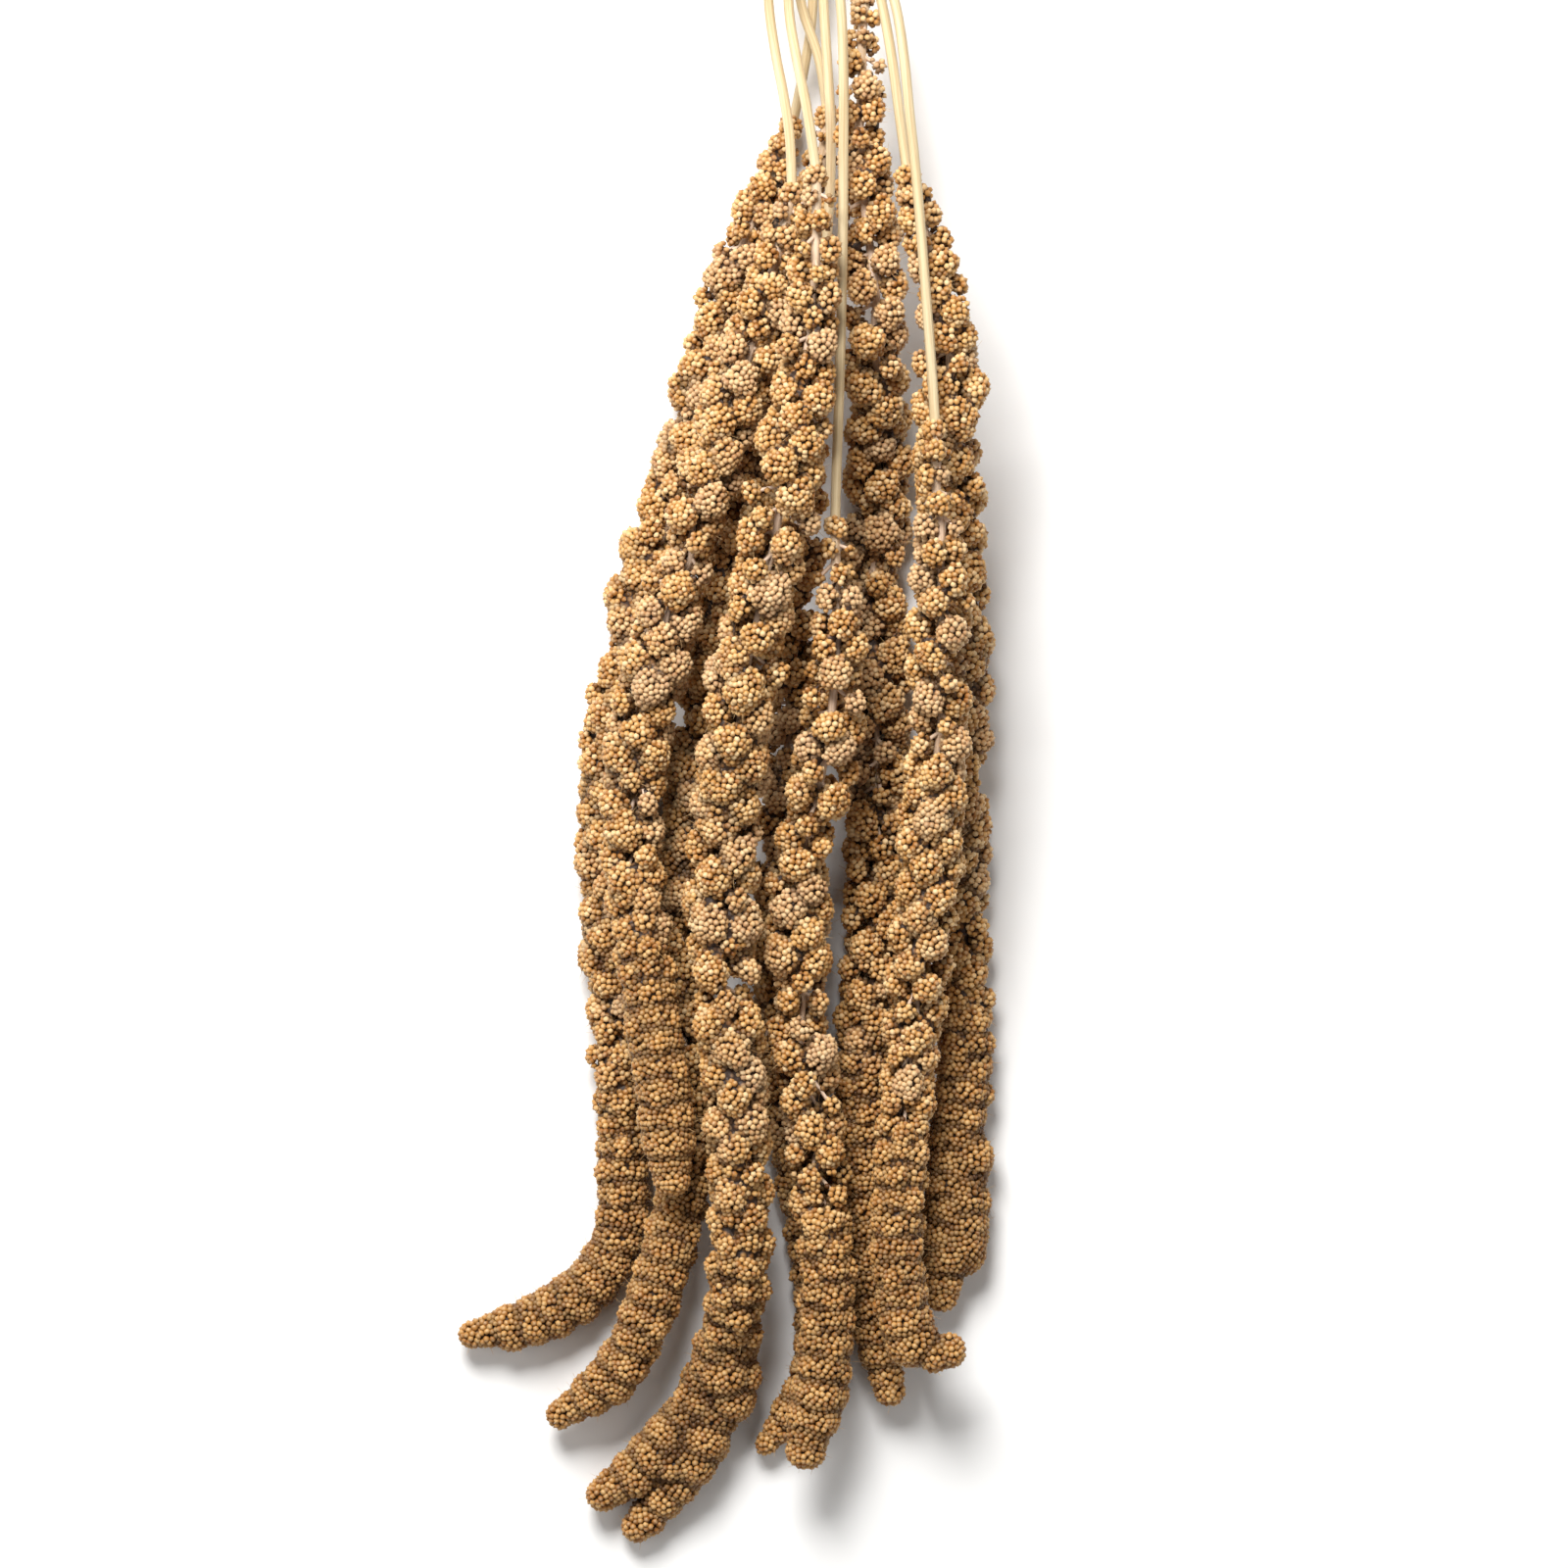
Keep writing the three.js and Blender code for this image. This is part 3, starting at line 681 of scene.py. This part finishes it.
seedCover = makeSeedCover()
headNodes = sorted(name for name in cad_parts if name.startswith("head_"))
stemLines = {node: readStem(node.replace("head_", "stem_")) for node in headNodes}
headSpots = {node: readHead(node, stemLines[node][-1], headForm["aimReach"]) for node in headNodes}
total = 0
for number, node in enumerate(headNodes):
    swell = headForm["backSwell"] if "back" in node else 1.0
    form = {**headForm, "clusterGirth": headForm["clusterGirth"] * swell}
    balls, branchlets = headBalls(headSpots[node], form, random.Random(headForm["seed"] + number))
    places, radii, tones, fingers = zip(*balls)
    marks = {"ballRadius": radii, "ballTone": tones, "ballFinger": fingers}
    mesh = meshOfPoints(node + "_balls", places, branchlets, **marks)
    sizes = {**seedSizes, "Random Seed": seedSizes["Random Seed"] + number}
    piece = grown("millet_" + node, mesh, seedCover, sizes)
    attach(piece, "root")
    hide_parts(node)
    total += trianglesOf(piece)
    tops = sum(spot["top"] for spot in headSpots[node])
    print("head", node, "clusters", tops, "balls", len(balls), "triangles", trianglesOf(piece))
print("heads covered, triangles", total)


strawSizes = {"Sides": 12, "Step": 0.003, "Bore": 0.62, "Bore Depth": 0.006}
strawForm = {"radius": 0.00128, "axisEnd": 0.62, "axisRadius": 0.0013, "tipRadius": 0.0006}


def makeStrawTube():
    tree, given = newTree("strawTube", strawSizes)
    line = addNode(tree, "GeometryNodeMeshToCurve", {"Mesh": given["Geometry"]}).outputs[0]
    line = addNode(tree, "GeometryNodeCurveSplineType", {"Curve": line}, spline_type="CATMULL_ROM").outputs[0]
    evenly = {"Curve": line, "Length": given["Step"]}
    line = addNode(tree, "GeometryNodeResampleCurve", evenly, mode="LENGTH").outputs[0]
    radius = namedValue(tree, "lineRadius")
    line = addNode(tree, "GeometryNodeSetCurveRadius", {"Curve": line, "Radius": radius}).outputs[0]
    parameter = addNode(tree, "GeometryNodeSplineParameter").outputs
    line = addMarks(tree, line, strawRun=parameter["Length"])
    ring = addMarks(tree, ringOf(tree, given["Sides"], 1.0), strawTurn=parameter["Factor"])
    tube = alongLine(tree, line, ring, True)
    if "Scale" in tube.inputs:
        tree.links.new(radius, tube.inputs["Scale"])
    tube = smoothed(tree, tube.outputs[0])

    # the cut end is hollow
    corners = addNode(tree, "GeometryNodeInputMeshFaceNeighbors").outputs["Vertex Count"]
    cap = addNode(tree, "FunctionNodeCompare", {2: corners, 3: 4}, data_type="INT", operation="GREATER_THAN")
    end = {"Mesh": tube, "Selection": cap.outputs[0], "Offset Scale": 0.0}
    wall = addNode(tree, "GeometryNodeExtrudeMesh", end, mode="FACES")
    shrunk = {"Geometry": wall.outputs["Mesh"], "Selection": wall.outputs["Top"], "Scale": given["Bore"]}
    rim = addNode(tree, "GeometryNodeScaleElements", shrunk).outputs[0]
    depth = addMath(tree, "MULTIPLY", given["Bore Depth"], -1.0)
    sunk = {"Mesh": rim, "Selection": wall.outputs["Top"], "Offset Scale": depth}
    tube = addNode(tree, "GeometryNodeExtrudeMesh", sunk, mode="FACES").outputs["Mesh"]
    tube = addNode(tree, "GeometryNodeRealizeInstances", {"Geometry": tube}).outputs[0]
    addNode(tree, "NodeGroupOutput", {"Geometry": finished(tree, tube, straw)})
    return tree


def axisOf(spots, end):  # the middles of a head's rows, down to a share of its length
    shares = sorted({spot["share"] for spot in spots if spot["share"] < end})
    rows = [[spot["place"] for spot in spots if spot["share"] == share] for share in shares]
    return [(share / end, np.mean(row, axis=0)) for share, row in zip(shares, rows)]


strawTube = makeStrawTube()
for node in headNodes:
    stemNode = node.replace("head_", "stem_")
    line = list(stemLines[node])
    radii = [strawForm["radius"]] * len(line)
    inHead = [0.0] * len(line)
    for share, middle in axisOf(headSpots[node], strawForm["axisEnd"]):
        line.append(middle)
        radii.append(strawForm["axisRadius"] * (1 - share) + strawForm["tipRadius"] * share)
        inHead.append(min(1.0, 0.4 + 3 * share))
    edges = [(i, i + 1) for i in range(len(line) - 1)]
    mesh = meshOfPoints(stemNode + "_line", line, edges, lineRadius=radii, strawInHead=inHead)
    piece = grown("straw_" + stemNode, mesh, strawTube, strawSizes)
    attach(piece, "root")
    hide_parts(stemNode)
    total += trianglesOf(piece)
print("stems made, triangles", total)


cordSizes = {"Ply Sides": 8, "Ply Radius": 0.00056, "Ply Offset": 0.0005, "Twist": 0.0062, "Step": 0.0005}
tieForm = {
    "turns": 3,
    "pointsPerTurn": 32,
    "tighten": 0.0006,
    "knotSize": 0.0013,
    "knotPoints": 48,
    "knotSink": 0.0008,
}


def makeTwistedCord():
    tree, given = newTree("twistedCord", cordSizes)
    line = addNode(tree, "GeometryNodeMeshToCurve", {"Mesh": given["Geometry"]}).outputs[0]
    evenly = {"Curve": line, "Length": given["Step"]}
    line = addNode(tree, "GeometryNodeResampleCurve", evenly, mode="LENGTH").outputs[0]
    parameter = addNode(tree, "GeometryNodeSplineParameter").outputs
    line = addMarks(tree, line, cordRun=parameter["Length"])
    ring = addMarks(tree, ringOf(tree, given["Ply Sides"], given["Ply Radius"]), cordTurn=parameter["Factor"])
    normal = addNode(tree, "GeometryNodeInputNormal").outputs[0]
    tangent = addNode(tree, "GeometryNodeInputTangent").outputs[0]
    beside = addVectors(tree, "CROSS_PRODUCT", tangent, normal)[0]
    turns = addMath(tree, "DIVIDE", parameter["Length"], given["Twist"])
    whole = addNode(tree, "GeometryNodeJoinGeometry")
    for start in (0.0, 0.5):  # two plies, half a turn apart
        angle = addMath(tree, "MULTIPLY", addMath(tree, "ADD", turns, start), math.tau)
        shifts = []
        for way, part in ((normal, "COSINE"), (beside, "SINE")):
            reach = addMath(tree, "MULTIPLY", addMath(tree, part, angle), given["Ply Offset"])
            shifts.append(addScaled(tree, way, reach))
        shift = addVectors(tree, "ADD", *shifts)[0]
        ply = addNode(tree, "GeometryNodeSetPosition", {"Geometry": line, "Offset": shift}).outputs[0]
        ply = alongLine(tree, ply, ring, True).outputs[0]
        tree.links.new(smoothed(tree, ply), whole.inputs[0])
    made = addNode(tree, "GeometryNodeRealizeInstances", {"Geometry": whole.outputs[0]}).outputs[0]
    addNode(tree, "NodeGroupOutput", {"Geometry": finished(tree, made, cord)})
    return tree


def tieLine(form):  # the turns round the stems, then the knot that hides their ends
    low, high = (np.array(corner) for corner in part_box("tie"))
    middle = (low + high) / 2
    thick = (high[1] - low[1]) / form["turns"]
    radius = (high[2] - low[2]) / 2 - thick / 2 - form["tighten"]
    points, edges = [], []
    count = (form["turns"] - 1) * form["pointsPerTurn"]
    for k in range(count + 1):
        angle = math.pi / 2 + math.tau * k / form["pointsPerTurn"]
        along = (k / count - 0.5) * (form["turns"] - 1) * thick
        points.append(middle + np.array((radius * math.cos(angle), along, radius * math.sin(angle))))
    edges += [(k, k + 1) for k in range(count)]
    first = len(points)
    size = form["knotSize"]
    top = middle + np.array((0.0, 0.0, radius + thick / 2 + size - form["knotSink"]))
    for k in range(form["knotPoints"]):
        t = math.tau * k / form["knotPoints"]
        wound = (math.sin(t) + 2 * math.sin(2 * t), math.cos(t) - 2 * math.cos(2 * t), -1.1 * math.sin(3 * t))
        points.append(top + size * np.array(wound))
        edges.append((first + k, first + (k + 1) % form["knotPoints"]))
    return points, edges


twistedCord = makeTwistedCord()
points, edges = tieLine(tieForm)
piece = grown("cord_tie", meshOfPoints("tie_line", points, edges), twistedCord, cordSizes)
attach(piece, "root")
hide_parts("tie")
total += trianglesOf(piece)
print("tie wound, triangles", total)


stageForm = {
    "lookAt": (0.01402, -0.05967),  # the middle of the photograph, on the table
    "width": 0.4,  # what the photograph's frame spans there
    "distance": 2.2,
    "middleHeight": 0.025,
    "floor": paint(250, 249, 247),
    "floorShade": paint(246, 245, 243),
}


def makeStage(form):
    bpy.ops.mesh.primitive_plane_add(size=6.0, location=(0, 0, 0))
    floor = bpy.context.object
    floor.name = "floor"
    material, tree, shader = newMaterial("paleFloor")
    tone = mixColour(tree, patchOf(tree, 0.4, 1.0), form["floor"], form["floorShade"])
    tree.links.new(tone, shader.inputs["Base Color"])
    shader.inputs["Roughness"].default_value = 0.9
    floor.data.materials.append(material)
    eye = bpy.data.cameras.new("camera")
    camera = bpy.data.objects.new("camera", eye)
    bpy.context.scene.collection.objects.link(camera)
    camera.location = (*form["lookAt"], form["distance"])
    eye.sensor_width = 36.0
    eye.lens = eye.sensor_width * (form["distance"] - form["middleHeight"]) / form["width"]
    eye.clip_end = 20.0
    bpy.context.scene.camera = camera


lightForm = {
    "key": {"at": (-0.25, 0.75, 1.0), "size": 0.6, "power": 27.0},
    "fill": {"at": (0.75, -0.5, 1.1), "size": 1.2, "power": 3.5},
    "left": {"at": (-1.0, -0.3, 0.9), "size": 1.0, "power": 3.5},
    "sky": 0.14,
    "target": Vector((0.01, -0.06, 0.02)),
}


def makeLights(form):
    for name in ("key", "fill", "left"):
        lamp = bpy.data.lights.new(name, "AREA")
        lamp.size, lamp.energy = form[name]["size"], form[name]["power"]
        light = bpy.data.objects.new(name, lamp)
        bpy.context.scene.collection.objects.link(light)
        light.location = form[name]["at"]
        light.rotation_euler = (form["target"] - light.location).to_track_quat("-Z", "Y").to_euler()
    world = bpy.data.worlds.new("studio")
    world.use_nodes = True
    world.node_tree.nodes["Background"].inputs["Color"].default_value = (1.0, 0.99, 0.97, 1.0)
    world.node_tree.nodes["Background"].inputs["Strength"].default_value = form["sky"]
    bpy.context.scene.world = world
    bpy.context.scene.view_settings.view_transform = "Standard"


makeStage(stageForm)
makeLights(lightForm)
print("stage, camera and lights set")
